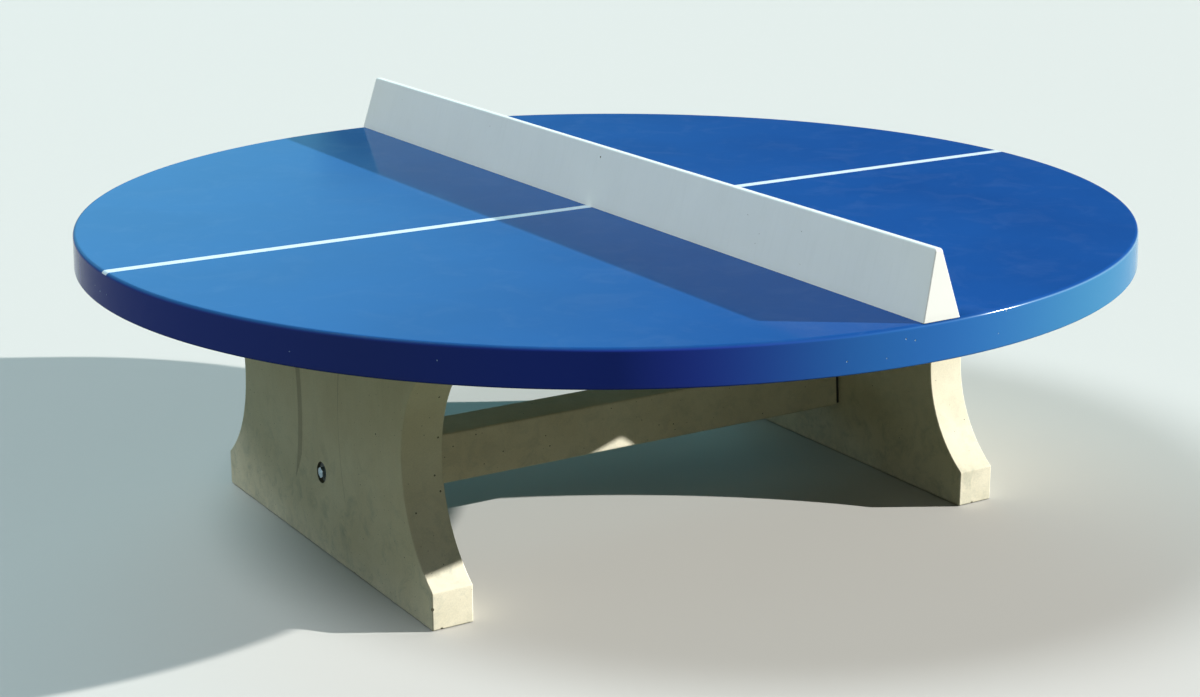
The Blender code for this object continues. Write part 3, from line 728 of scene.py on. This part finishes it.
def rolled_blue_coating():
    """Two-part floor coating rolled over ground concrete: a strong semi-gloss blue that mirrors
    softly at a low angle, with orange peel from the roller and faint dried rain marks. Below the
    rim's arris it ends in a ragged lap on bare floated concrete."""
    material, add, place = new_material("rolled_blue_coating")
    clouds = add("TexNoise", {"Vector": place, "Scale": 1 / 0.45, "Detail": 4.0, "Roughness": 0.55})
    cloudy = add("MapRange", {"Value": clouds, "From Min": 0.35, "From Max": 0.65})
    colour = add("MixRGB", {"Fac": cloudy, "Color1": "1A4D91", "Color2": "18488A"})

    # Dried rain leaves paler, duller patches 50 to 150 mm across
    rain = add("TexNoise", {
        "Vector": place, "Scale": 1 / 0.11, "Detail": 7.0, "Roughness": 0.62, "Distortion": 0.8
    })
    rain_marks = add("MapRange", {"Value": rain, "From Min": 0.50, "From Max": 0.72})
    film = add("Math", {0: rain_marks, 1: 0.03}, operation="MULTIPLY")
    colour = add("MixRGB", {"Fac": film, "Color1": colour, "Color2": "9FB4C8"})

    # Play leaves thin scuffs, some 0.8 mm wide and 60 mm long
    scuffs = add(
        "Mapping", {"Vector": place, "Rotation": (0, 0, 0.5), "Scale": (1 / 0.055, 1 / 0.0035, 1 / 0.05)}
    )
    streaks = add("TexNoise", {"Vector": scuffs, "Scale": 1.0, "Distortion": 1.2})
    scuffed = add("MapRange", {"Value": streaks, "From Min": 0.70, "From Max": 0.80, "To Max": 0.05})
    colour = add("MixRGB", {"Fac": scuffed, "Color1": colour, "Color2": "8FB1D2"})

    # Painted light: the top is painted a little paler towards its far left, where it looks brighter in
    # the light
    far_left_side = add(
        "VectorMath", {0: place, 1: (-0.8, 0.6, 0.0)}, operation="DOT_PRODUCT"
    ).outputs["Value"]
    far_left_painted_light = add("MapRange", {
        "Value": far_left_side, "From Min": -0.8, "From Max": 1.3, "To Max": 0.17
    }, interpolation_type="SMOOTHSTEP")
    colour = add("MixRGB", {"Fac": far_left_painted_light, "Color1": colour, "Color2": "5AA6CF"})

    # The rim is painted with light and shade: a deep violet blue as painted shade away from the sun,
    # royal blue where the sun grazes it, and paler the more it faces the sun, as painted sunlight
    normal = add("NewGeometry").outputs["Normal"]
    sunward = add(
        "VectorMath", {0: normal, 1: (0.87, -0.50, 0.0)}, operation="DOT_PRODUCT"
    ).outputs["Value"]
    rim_sun_and_shade_colour = "2A3A82"
    for least, most, code in RIM_PAINTED_SUN_AND_SHADE:
        sunlit_share = add("MapRange", {
            "Value": sunward, "From Min": least, "From Max": most
        }, interpolation_type="SMOOTHSTEP")
        rim_sun_and_shade_colour = add("MixRGB", {"Fac": sunlit_share, "Color1": rim_sun_and_shade_colour, "Color2": code})
    facing = add("SeparateXYZ", {"Vector": normal}).outputs["Z"]
    upright = add("MapRange", {
        "Value": facing, "From Min": 0.20, "From Max": 0.85, "To Min": 1.0, "To Max": 0.0
    }, interpolation_type="SMOOTHSTEP")
    colour = add("MixRGB", {"Fac": upright, "Color1": colour, "Color2": rim_sun_and_shade_colour})

    # Painted highlight: the top arris is painted pale on the side that faces the sun, and made shinier
    # there for the sun's glint
    lying = add("Math", {0: 1.0, 1: upright}, operation="SUBTRACT")
    arris = add("Math", {0: upright, 1: lying}, operation="MULTIPLY")
    sunny = add("MapRange", {
        "Value": sunward, "From Min": 0.30, "From Max": 0.70
    }, interpolation_type="SMOOTHSTEP")
    sun_arris_highlight = add("Math", {0: arris, 1: sunny}, operation="MULTIPLY")
    pale = add("MapRange", {"Value": sun_arris_highlight, "From Max": 0.25, "To Max": 0.38})
    colour = add("MixRGB", {"Fac": pale, "Color1": colour, "Color2": "8FC0E0"})
    shine = add("MapRange", {"Value": sun_arris_highlight, "From Max": 0.25, "To Min": 0.015, "To Max": 0.40})

    # Bare underside: the way the face points, and a ragged edge of about 15 mm at the rim
    below = add("Math", {0: facing, 1: -0.9}, operation="LESS_THAN")
    across = add("VectorMath", {0: place, 1: (1, 1, 0)}, operation="MULTIPLY")
    from_middle = add("VectorMath", {0: across}, operation="LENGTH").outputs["Value"]
    ragged = add("TexNoise", {"Vector": place, "Scale": 1 / 0.03, "Detail": 5.0})
    lap = add("MapRange", {"Value": ragged, "To Min": 1.255, "To Max": 1.300})
    inside = add("Math", {0: from_middle, 1: lap}, operation="LESS_THAN")
    bare = add("Math", {0: below, 1: inside}, operation="MULTIPLY")
    floated = add("TexNoise", {"Vector": place, "Scale": 1 / 0.09, "Detail": 8.0, "Roughness": 0.7})
    floated_colour = add("MixRGB", {"Fac": floated, "Color1": "C9C3AE", "Color2": "A39D8A"})
    colour = add("MixRGB", {"Fac": bare, "Color1": colour, "Color2": floated_colour})

    gloss = add("MapRange", {"Value": rain_marks, "To Min": 0.08, "To Max": 0.12})
    gloss = add("MapRange", {"Value": sun_arris_highlight, "From Max": 0.25, "To Min": gloss, "To Max": 0.16})
    roughness = add("MapRange", {"Value": bare, "To Min": gloss, "To Max": 0.9})

    # Orange peel of 4 mm on the coating, and the float's sweeps on the bare concrete
    peel = add("TexNoise", {"Vector": place, "Scale": 1 / 0.004, "Detail": 1.0})
    relief = add("Bump", {"Height": peel, "Strength": 0.06, "Distance": 0.0002})
    sweeps = add("Math", {0: floated, 1: bare}, operation="MULTIPLY")
    relief = add("Bump", {"Height": sweeps, "Strength": 0.8, "Distance": 0.006, "Normal": relief})
    shader = add("BsdfPrincipled", {
        "Base Color": colour, "Roughness": roughness, "IOR": 1.5, "Specular IOR Level": shine,
        "Normal": relief
    })
    add("OutputMaterial", {"Surface": shader})
    return material


def chipped_coating():
    """Bare cement in a chip of the coating: a pale, dusty blue-grey."""
    material, add, place = new_material("chipped_coating")
    dust = add("TexNoise", {"Vector": place, "Scale": 1 / 0.001, "Detail": 3.0})
    colour = add("MixRGB", {"Fac": dust, "Color1": "B4CCE4", "Color2": "8CB0D4"})
    shader = add("BsdfPrincipled", {"Base Color": colour, "Roughness": 0.9})
    add("OutputMaterial", {"Surface": shader})
    return material


BLUE_COATING = rolled_blue_coating()
CHIPPED_COATING = chipped_coating()


def make_slab():
    low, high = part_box("tabletop")
    top_radius = high.x - SLAB_DRAFT
    profile = [
        (0, high.z),
        (high.x / 2, high.z),
        *arc_points((top_radius - SLAB_TOP_ARRIS, high.z - SLAB_TOP_ARRIS), SLAB_TOP_ARRIS, 90, 0, 10),
        *arc_points((high.x - SLAB_UNDER_ARRIS, low.z + SLAB_UNDER_ARRIS), SLAB_UNDER_ARRIS, 0, -90, 5),
        (0, low.z),
    ]
    slab = add_piece("slab_casting", turned(profile, SLAB_STEPS), BLUE_COATING)
    helpers = []
    for side, sign in SIDES:
        line_low, line_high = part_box(f"centre_line_{side}")
        inner = line_high.x if sign < 0 else line_low.x
        ends = sorted((inner - sign * LINE_CLEARANCE, sign * (high.x + CUT_MARGIN)))
        groove = block(
            (ends[0], line_low.y - LINE_CLEARANCE, line_low.z - LINE_CLEARANCE),
            (ends[1], line_high.y + LINE_CLEARANCE, high.z + CUT_MARGIN)
        )
        helpers.append(add_piece(f"line_groove_{side}", groove, BLUE_COATING))
        for end in ENDS:
            name, dowel = f"dowel_hole_{side}_{end}", f"slab_dowel_{side}_{end}"
            bottom = low.z - CUT_MARGIN
            helpers.append(upright_hole(name, dowel, DOWEL_CLEARANCE, BLUE_COATING, bottom))
    for end in ENDS:
        washer_low, washer_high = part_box(f"net_washer_{end}")
        centre_y = (washer_low.y + washer_high.y) / 2
        recess_radius = (washer_high.x - washer_low.x) / 2 + WASHER_CLEARANCE
        hole_radius = NET_BOLT_DIAMETER / 2 + BOLT_HOLE_CLEARANCE
        top, step, bottom = high.z + CUT_MARGIN, washer_high.z + SEAT_GAP, low.z - CUT_MARGIN
        recess = stepped_rod(top, hole_radius, step, recess_radius, bottom)
        bore = turned(recess, 40, (0, centre_y, 0))
        helpers.append(add_piece(f"net_bolt_hole_{end}", bore, BLUE_COATING))

    # Small chips in the coating of the rim, where bats and bags have knocked it. The near side
    # has the ones seen in the photograph, as degrees round from +X and height
    chance = random.Random(12)
    spots = []
    places = [(math.radians(angle), z - low.z) for angle, z in SEEN_CHIPS]
    while len(spots) < RIM_CHIPS:
        far_round = (chance.uniform(-0.28, 1.28) * math.pi, chance.uniform(0.012, 0.068))
        angle, rise = places.pop() if places else far_round
        outward = Vector((math.cos(angle), math.sin(angle), 0))
        radius_there = high.x - SLAB_DRAFT * rise / (high.z - low.z)
        point = outward * radius_there + Vector((0, 0, low.z + rise))
        if clear_of(point, spots, RIM_CHIP_ROOM):
            spots.append((point, outward, chance.uniform(*RIM_CHIP_RADIUS)))
    helpers.append(air_holes("rim_chips", spots, CHIPPED_COATING))
    combine(slab, helpers)
    dress(slab, "blue_coating", "tabletop")


make_slab()


# Centre line. A white strip on each side of the net bar, laid flush in a groove in the slab and
# ground with it, so that its outer end follows the rounded arris of the rim.


def white_strip():
    """White line mortar, ground flush: bright and satin, greyed a little by shoes and rain."""
    material, add, place = new_material("white_line_mortar")
    wear = add("TexNoise", {"Vector": place, "Scale": 1 / 0.03, "Detail": 7.0, "Roughness": 0.7})
    worn = add("MapRange", {"Value": wear, "From Min": 0.5, "From Max": 0.75, "To Max": 0.5})
    colour = add("MixRGB", {"Fac": worn, "Color1": "D0DCE6", "Color2": "AEBAC6"})
    roughness = add("MapRange", {"Value": wear, "To Min": 0.35, "To Max": 0.6})
    relief = add("Bump", {"Height": wear, "Strength": 0.2, "Distance": 0.0003})
    shader = add("BsdfPrincipled", {"Base Color": colour, "Roughness": roughness, "Normal": relief})
    add("OutputMaterial", {"Surface": shader})
    return material


WHITE_STRIP = white_strip()


def make_strip(side, sign):
    low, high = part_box(f"centre_line_{side}")
    _, slab_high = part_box("tabletop")
    top_radius = slab_high.x - SLAB_DRAFT
    inner = high.x if sign < 0 else low.x
    middle = (top_radius - SLAB_TOP_ARRIS, slab_high.z - SLAB_TOP_ARRIS)
    depth = high.z - low.z
    lowest = math.degrees(math.asin((SLAB_TOP_ARRIS - depth) / SLAB_TOP_ARRIS))
    end = arc_points(middle, SLAB_TOP_ARRIS, 90, lowest, 8)
    outline = [(abs(inner), high.z), *end, (abs(inner), low.z)]
    work = pushed_out([(sign * x, low.y, z) for x, z in outline], (0, high.y - low.y, 0))
    strip = add_piece(f"white_strip_{side}", work, WHITE_STRIP)
    dress(strip, "white_line", f"centre_line_{side}")


for side, sign in SIDES:
    make_strip(side, sign)


# Net bar. A tapered concrete bar stands in for the net. It is cast upside down, so its sides
# draw in towards the top, its upper end corners are rounded, and it is painted off-white.

NET_BASE_WIDTH = 0.095
NET_TOP_WIDTH = 0.016
NET_RIM_SETBACK = 0.004
NET_END_LEAN = 0.017
NET_END_ROUND = 0.006
NET_ARRIS = 0.0025
NET_AIR_HOLES = 18
NET_AIR_HOLE_RADIUS = (0.0008, 0.0013)
NET_AIR_HOLE_ROOM = 0.02
SEEN_NET_AIR_HOLE = (-1, -0.002, 0.121, 0.0026)


def off_white_paint():
    """Off-white masonry paint on cast concrete: an even satin skin with a few pinholes, dusty
    where the sides meet the slab and streaked by rain from the top."""
    material, add, place = new_material("off_white_masonry_paint")
    clouds = add("TexNoise", {"Vector": place, "Scale": 1 / 0.16, "Detail": 5.0, "Roughness": 0.6})
    colour = add("MixRGB", {"Fac": clouds, "Color1": "EDEFEB", "Color2": "E2E5E1"})
    hanging = add("Mapping", {"Vector": place, "Scale": (1 / 0.05, 1 / 0.012, 1 / 0.25)})
    runs = add("TexNoise", {"Vector": hanging, "Scale": 1.0, "Detail": 4.0, "Roughness": 0.6})
    rain_runs = add("MapRange", {"Value": runs, "From Min": 0.52, "From Max": 0.75, "To Max": 0.05})
    height = add("SeparateXYZ", {"Vector": place}).outputs["Z"]
    foot = add("MapRange", {
        "Value": height, "From Min": 0.761, "From Max": 0.779, "To Min": 0.16, "To Max": 0.0
    }, interpolation_type="SMOOTHSTEP")
    dust = add("TexNoise", {"Vector": place, "Scale": 1 / 0.02, "Detail": 5.0})
    dusty = add("Math", {0: foot, 1: dust}, operation="MULTIPLY")
    grime = add("Math", {0: rain_runs, 1: dusty}, operation="MAXIMUM")
    colour = add("MixRGB", {"Fac": grime, "Color1": colour, "Color2": "A9ABA0"})
    tooth = add("TexNoise", {"Vector": place, "Scale": 1 / 0.003})
    roughness = add("MapRange", {"Value": tooth, "To Min": 0.42, "To Max": 0.62})
    relief = add("Bump", {"Height": tooth, "Strength": 0.35, "Distance": 0.0003})
    shader = add("BsdfPrincipled", {"Base Color": colour, "Roughness": roughness, "Normal": relief})
    add("OutputMaterial", {"Surface": shader})
    return material


OFF_WHITE_PAINT = off_white_paint()


def make_net_bar():
    low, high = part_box("net_bar")
    _, slab_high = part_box("tabletop")
    foot_y = slab_high.x - NET_RIM_SETBACK
    work = block(low, high)
    for corner in work.verts:
        upper = corner.co.z > (low.z + high.z) / 2
        corner.co.x = math.copysign((NET_TOP_WIDTH if upper else NET_BASE_WIDTH) / 2, corner.co.x)
        corner.co.y = math.copysign(foot_y - (NET_END_LEAN if upper else 0), corner.co.y)
    base = low.z + 0.01
    upper_edges = [edge for edge in work.edges if all(v.co.z > base for v in edge.verts)]
    ends = [edge for edge in upper_edges if edge.verts[0].co.y == edge.verts[1].co.y]
    round_edges(work, ends, NET_END_ROUND, 8)

    # The base was the open top of the mould, so only its arris is left sharp
    round_arrises(work, NET_ARRIS, above=base)
    bar = add_piece("net_bar_casting", work, OFF_WHITE_PAINT)
    helpers = []
    for end in ENDS:
        name, socket = f"socket_hole_{end}", f"net_socket_{end}"
        bottom = low.z - CUT_MARGIN
        helpers.append(upright_hole(name, socket, SEAT_GAP, OFF_WHITE_PAINT, bottom))

    # A few air holes show through the paint, the largest of them near the middle
    chance = random.Random(31)
    lean = math.atan2((NET_BASE_WIDTH - NET_TOP_WIDTH) / 2, high.z - low.z)
    spots = []
    while len(spots) < NET_AIR_HOLES:
        sign = chance.choice((-1, 1))
        y = chance.uniform(-1.2, 1.2)
        rise = chance.uniform(0.02, 0.125)
        radius = chance.uniform(*NET_AIR_HOLE_RADIUS)
        if not spots:
            sign, y, rise, radius = SEEN_NET_AIR_HOLE
        x = sign * (NET_BASE_WIDTH / 2 - rise * math.tan(lean))
        outward = Vector((sign * math.cos(lean), 0, math.sin(lean)))
        point = Vector((x, y, low.z + rise))
        if clear_of(point, spots, NET_AIR_HOLE_ROOM):
            spots.append((point, outward, radius))
    # The air holes take the dark concrete: grime and painted shade
    helpers.append(air_holes("air_holes", spots, SHADE_AND_GRIME_CONCRETE))
    combine(bar, helpers)
    dress(bar, "white_coating", "net_bar")


make_net_bar()


# Net bar fixings. Two zinc-plated M12 bolts come up through the slab from recesses in its
# underside, each on a washer, into threaded sockets cast in the bar's base.

NET_BOLT_HEAD = 0.019
NET_BOLT_HEAD_HEIGHT = 0.0075

for end in ENDS:
    down = Vector((0, 0, -1))
    size = (NET_BOLT_HEAD, NET_BOLT_HEAD_HEIGHT, NET_BOLT_DIAMETER)
    make_bolt(f"bar_bolt_{end}", f"net_bolt_{end}", down, *size)
    make_washer(f"bar_washer_{end}", f"net_washer_{end}", down, NET_BOLT_DIAMETER)
    clad(f"net_socket_{end}", ZINC_STEEL)


# Floor. A plain pale studio floor, wide enough to fill the picture. It looks pale to the camera
# and in reflections, but throws less light than that up at the legs and the slab's underside.

FLOOR_HALF_WIDTH = 60.0


def studio_floor():
    material, add, _ = new_material("studio_floor")
    path = add("LightPath")
    seen = add(
        "Math", {0: path.outputs["Is Camera Ray"], 1: path.outputs["Is Glossy Ray"]}, operation="MAXIMUM"
    )
    seen = add("Math", {0: seen, 1: path.outputs["Is Transmission Ray"]}, operation="MAXIMUM")
    colour = add("MixRGB", {"Fac": seen, "Color1": "464B30", "Color2": "C6C5C1"})
    shader = add("BsdfPrincipled", {"Base Color": colour, "Roughness": 0.9})
    add("OutputMaterial", {"Surface": shader})
    return material


floor_low = (-FLOOR_HALF_WIDTH, -FLOOR_HALF_WIDTH, -0.021)
floor_high = (FLOOR_HALF_WIDTH, FLOOR_HALF_WIDTH, -0.001)
floor = add_piece("floor", block(floor_low, floor_high), studio_floor())


# Light. One warm lamp low on the right throws the sharp shadows. A dim room with soft patches fills
# the shade: a strong one high on the left lights the net bar's shaded side, faint ones low on the
# left and high in front soften the legs, and the coating mirrors a blue one behind.

KEY_FROM = Vector((0.803, -0.464, 0.375))
KEY_STRENGTH = 6.5
KEY_WIDTH = math.radians(0.7)
ROOM_STRENGTH = 0.06

key = bpy.data.lights.new("key", "SUN")
key.energy = KEY_STRENGTH
key.angle = KEY_WIDTH
key.color = to_linear("FFFDF8")[:3]
key_lamp = bpy.data.objects.new("key", key)
key_lamp.rotation_euler = KEY_FROM.to_track_quat("Z", "Y").to_euler()
bpy.context.scene.collection.objects.link(key_lamp)

room = bpy.data.worlds.new("room")
room.use_nodes = True
bpy.context.scene.world = room
room.node_tree.nodes.clear()
add = partial(add_node, room.node_tree)
towards = add("TexCoord").outputs["Generated"]


def light_patch(middle, full, faded, colour, inner_level, outer_level=0.0):
    """A round patch of the room, at one level as far out as the full angle and at the other
    level beyond the faded angle."""
    along = add(
        "VectorMath", {0: towards, 1: middle.normalized()}, operation="DOT_PRODUCT"
    ).outputs["Value"]
    level = add("MapRange", {
        "Value": along, "From Min": math.cos(math.radians(faded)),
        "From Max": math.cos(math.radians(full)), "To Min": outer_level, "To Max": inner_level
    }, interpolation_type="SMOOTHSTEP")
    return add("Background", {"Color": colour, "Strength": level})


def past_edge(across, hidden, shown):
    """Passes from 0 to 1 over an edge of the screen."""
    along = add("VectorMath", {0: towards, 1: across}, operation="DOT_PRODUCT").outputs["Value"]
    return add("MapRange", {"Value": along, "From Min": hidden, "From Max": shown})


walls = light_patch(Vector((0.75, 0.62, 0.25)), 18, 42, "EAF1E4", 0.03, ROOM_STRENGTH)
high_left = light_patch(Vector((-0.47, 0.17, 0.87)), 6, 14, "E8F1F6", 18.4)
low_left = light_patch(Vector((-0.94, 0.32, 0.12)), 20, 45, "E6F2E8", 0.46)
behind = light_patch(Vector((0.12, 0.84, 0.53)), 12, 36, "8CE4F8", 2.0)
high_in_front = light_patch(Vector((-0.20, -0.75, 0.63)), 20, 40, "C4D8F4", 0.17)

# A dark screen, higher towards the right, hides the foot of the patch behind
above_screen = past_edge(Vector((-0.292, -0.073, 0.954)), -0.010, 0.014)
beside_screen = past_edge(Vector((-0.9114, 0.4115, 0.0)), -0.007, 0.009)
unscreened = add("Math", {0: above_screen, 1: beside_screen}, operation="MAXIMUM")
behind = add("MixShader", {0: unscreened, 2: behind})
patches = high_left
for patch in (behind, low_left, high_in_front):
    patches = add("AddShader", {0: patches, 1: patch})
light = add("AddShader", {0: walls, 1: patches})
add("OutputWorld", {"Surface": light})


# Camera. It looks down along the net bar from the near left, just under 2 m up, with the lens and
# the slight tilt of the photograph.

CAMERA_PLACE = (-2.810, -4.576, 1.937)
CAMERA_HEADING = math.radians(31.40)
CAMERA_DIP = math.radians(16.13)
CAMERA_ROLL = math.radians(-0.22)
CAMERA_LENS = 65.84
CAMERA_SENSOR = 36.0

camera = bpy.data.cameras.new("camera")
camera.lens = CAMERA_LENS
camera.sensor_width = CAMERA_SENSOR
camera.sensor_fit = "HORIZONTAL"
camera_stand = bpy.data.objects.new("camera", camera)
turn = (
    Matrix.Rotation(-CAMERA_HEADING, 4, "Z")
    @ Matrix.Rotation(math.pi / 2 - CAMERA_DIP, 4, "X")
    @ Matrix.Rotation(CAMERA_ROLL, 4, "Z")
)
camera_stand.matrix_world = Matrix.Translation(CAMERA_PLACE) @ turn
bpy.context.scene.collection.objects.link(camera_stand)
bpy.context.scene.camera = camera_stand

bpy.context.scene.view_settings.view_transform = "Standard"
